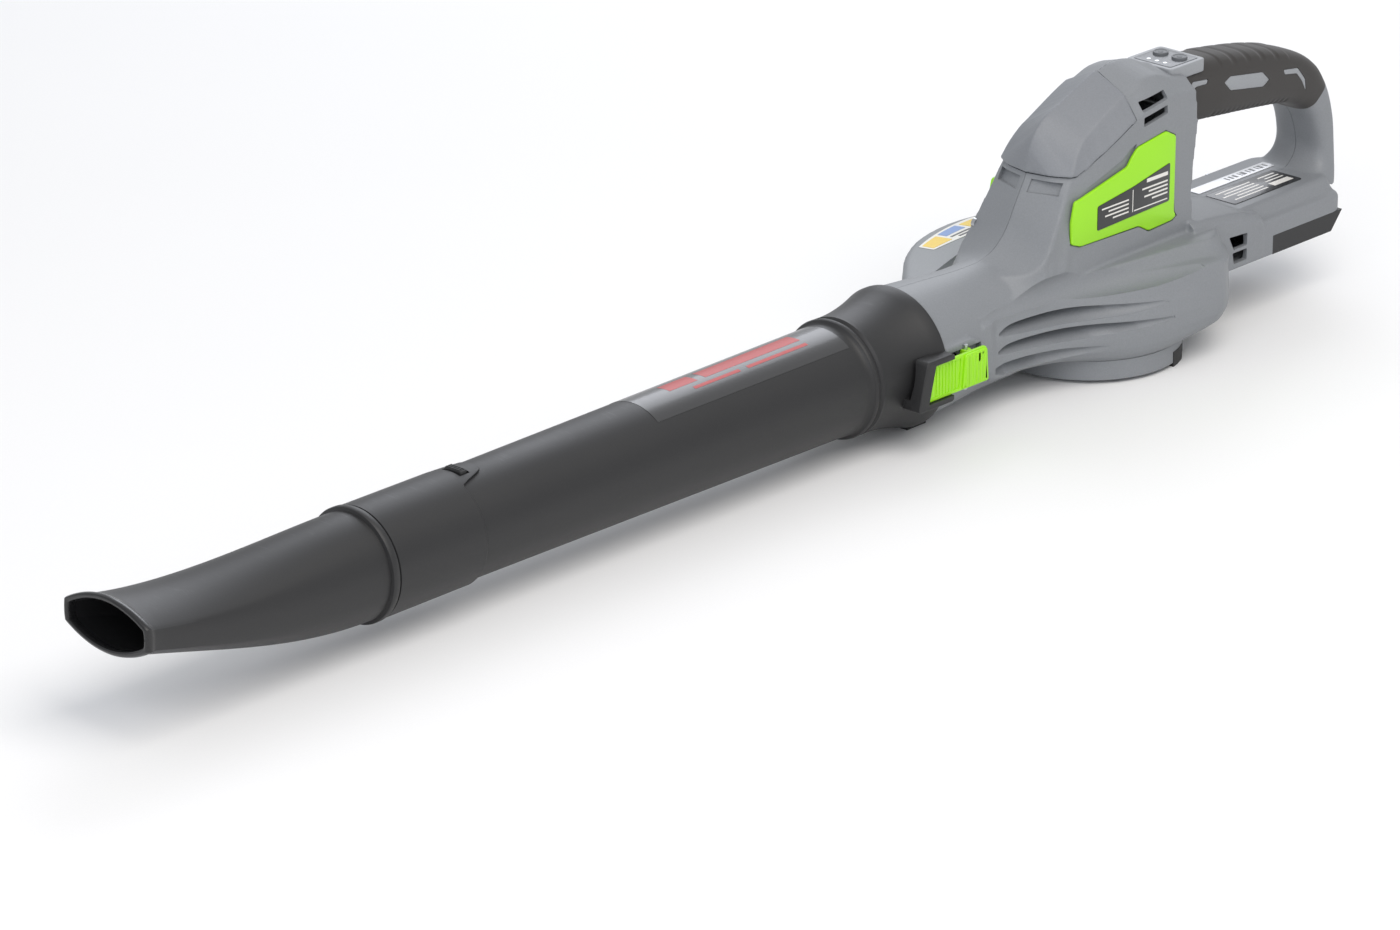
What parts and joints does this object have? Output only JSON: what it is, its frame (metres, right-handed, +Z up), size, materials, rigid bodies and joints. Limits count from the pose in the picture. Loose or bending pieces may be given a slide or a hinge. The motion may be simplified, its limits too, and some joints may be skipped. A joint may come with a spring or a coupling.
{
  "type": "leaf blower",
  "caption": "Cordless leaf blower: vertical fan housing with a loop handle, battery bay under the deck and a long straight air tube ending in a flattened, upturned nozzle.",
  "frame": {"origin": "where the fan's axis meets the resting plane, at the middle of the flat pad under the intake grille", "axes": "+X towards the nozzle along the air tube, +Y to the left of the blower, +Z up along the fan's axis"},
  "size_m": [0.969, 0.1657, 0.171],
  "materials": {
    "housing": "moulded grey ABS, fine texture",
    "hood_grey": "moulded grey ABS, fine texture",
    "lime": "moulded lime green ABS, satin",
    "label_black": "printed polyester label",
    "label_white": "printed polyester label",
    "tube_black": "satin black polypropylene",
    "sticker_black": "clear-coated sticker",
    "rubber": "soft-touch overmould",
    "seal_rubber": "moulded seal",
    "black_plastic": "moulded black nylon",
    "dark_plastic": "glass-filled nylon",
    "trim_grey": "moulded light grey ABS",
    "panel_dark": "printed control overlay",
    "button": "moulded button",
    "led": "clear polycarbonate light pipe",
    "steel": "bright steel",
    "can_steel": "zinc-plated steel can",
    "ferrite": "sintered ferrite",
    "copper": "enamelled copper windings",
    "carbon": "carbon brush",
    "brass": "tin-brass contact",
    "board": "epoxy glass board",
    "wire": "silicone insulation"
  },
  "bodies": {
    "body": {"housing_left": "housing", "housing_right": "housing", "motor_hood": "hood_grey", "badge_left": "lime", "badge_right": "lime", "rating_label_left": "label_black", "rating_label_right": "label_black", "air_tube": "tube_black", "nozzle": "tube_black", "tube_seal": "seal_rubber", "tube_sticker": "sticker_black", "latch_pins": "steel", "latch_springs": "steel", "intake_bowl": "hood_grey", "intake_grille": "black_plastic", "intake_cone": "dark_plastic", "rear_foot_left": "rubber", "rear_foot_right": "rubber", "front_foot": "rubber", "scroll_roof": "dark_plastic", "motor_can": "can_steel", "motor_magnets": "ferrite", "motor_end_cap": "dark_plastic", "motor_brushes": "carbon", "lower_bearing": "steel", "upper_bearing": "steel", "motor_screws": "steel", "control_panel": "panel_dark", "panel_frame": "trim_grey", "led_lenses": "led", "power_spring": "steel", "speed_spring": "steel", "control_board": "board", "grip_sleeve": "rubber", "grip_trim": "trim_grey", "battery_rails": "black_plastic", "terminal_block": "black_plastic", "terminal_blades": "brass", "power_leads": "wire", "deck_label": "label_black", "deck_strip": "label_white", "top_label": "label_white", "housing_screws": "steel"},
    "rotor": {"armature": "copper", "motor_shaft": "steel", "fan_wheel": "dark_plastic", "fan_nut": "steel"},
    "left_latch": {"latch_left": "lime"},
    "right_latch": {"latch_right": "lime"},
    "power_key": {"power_button": "button"},
    "speed_key": {"speed_button": "button"}
  },
  "joints": [
    {"name": "fan_spin", "type": "hinge", "parent": "body", "child": "rotor", "pos_m": [0, 0, 0.04], "axis": [0, 0, 1], "continuous": true},
    {"name": "left_latch_swing", "type": "hinge", "parent": "body", "child": "left_latch", "pos_m": [0.152, 0.039, 0.0395], "axis": [0, 0, 1], "range_deg": [0, 6], "stiffness_Nm_per_rad": 0.5, "springref_deg": -2.86},
    {"name": "right_latch_swing", "type": "hinge", "parent": "body", "child": "right_latch", "pos_m": [0.152, -0.039, 0.0395], "axis": [0, 0, -1], "range_deg": [0, 6], "stiffness_Nm_per_rad": 0.5, "springref_deg": -2.86},
    {"name": "power_press", "type": "slide", "parent": "body", "child": "power_key", "axis": [0, 0, -1], "range_m": [0, 0.0012], "stiffness_N_per_m": 900, "springref_m": -0.0006, "deforming": ["power_spring"]},
    {"name": "speed_press", "type": "slide", "parent": "body", "child": "speed_key", "axis": [0, 0, -1], "range_m": [0, 0.0012], "stiffness_N_per_m": 900, "springref_m": -0.0006, "deforming": ["speed_spring"]}
  ]
}
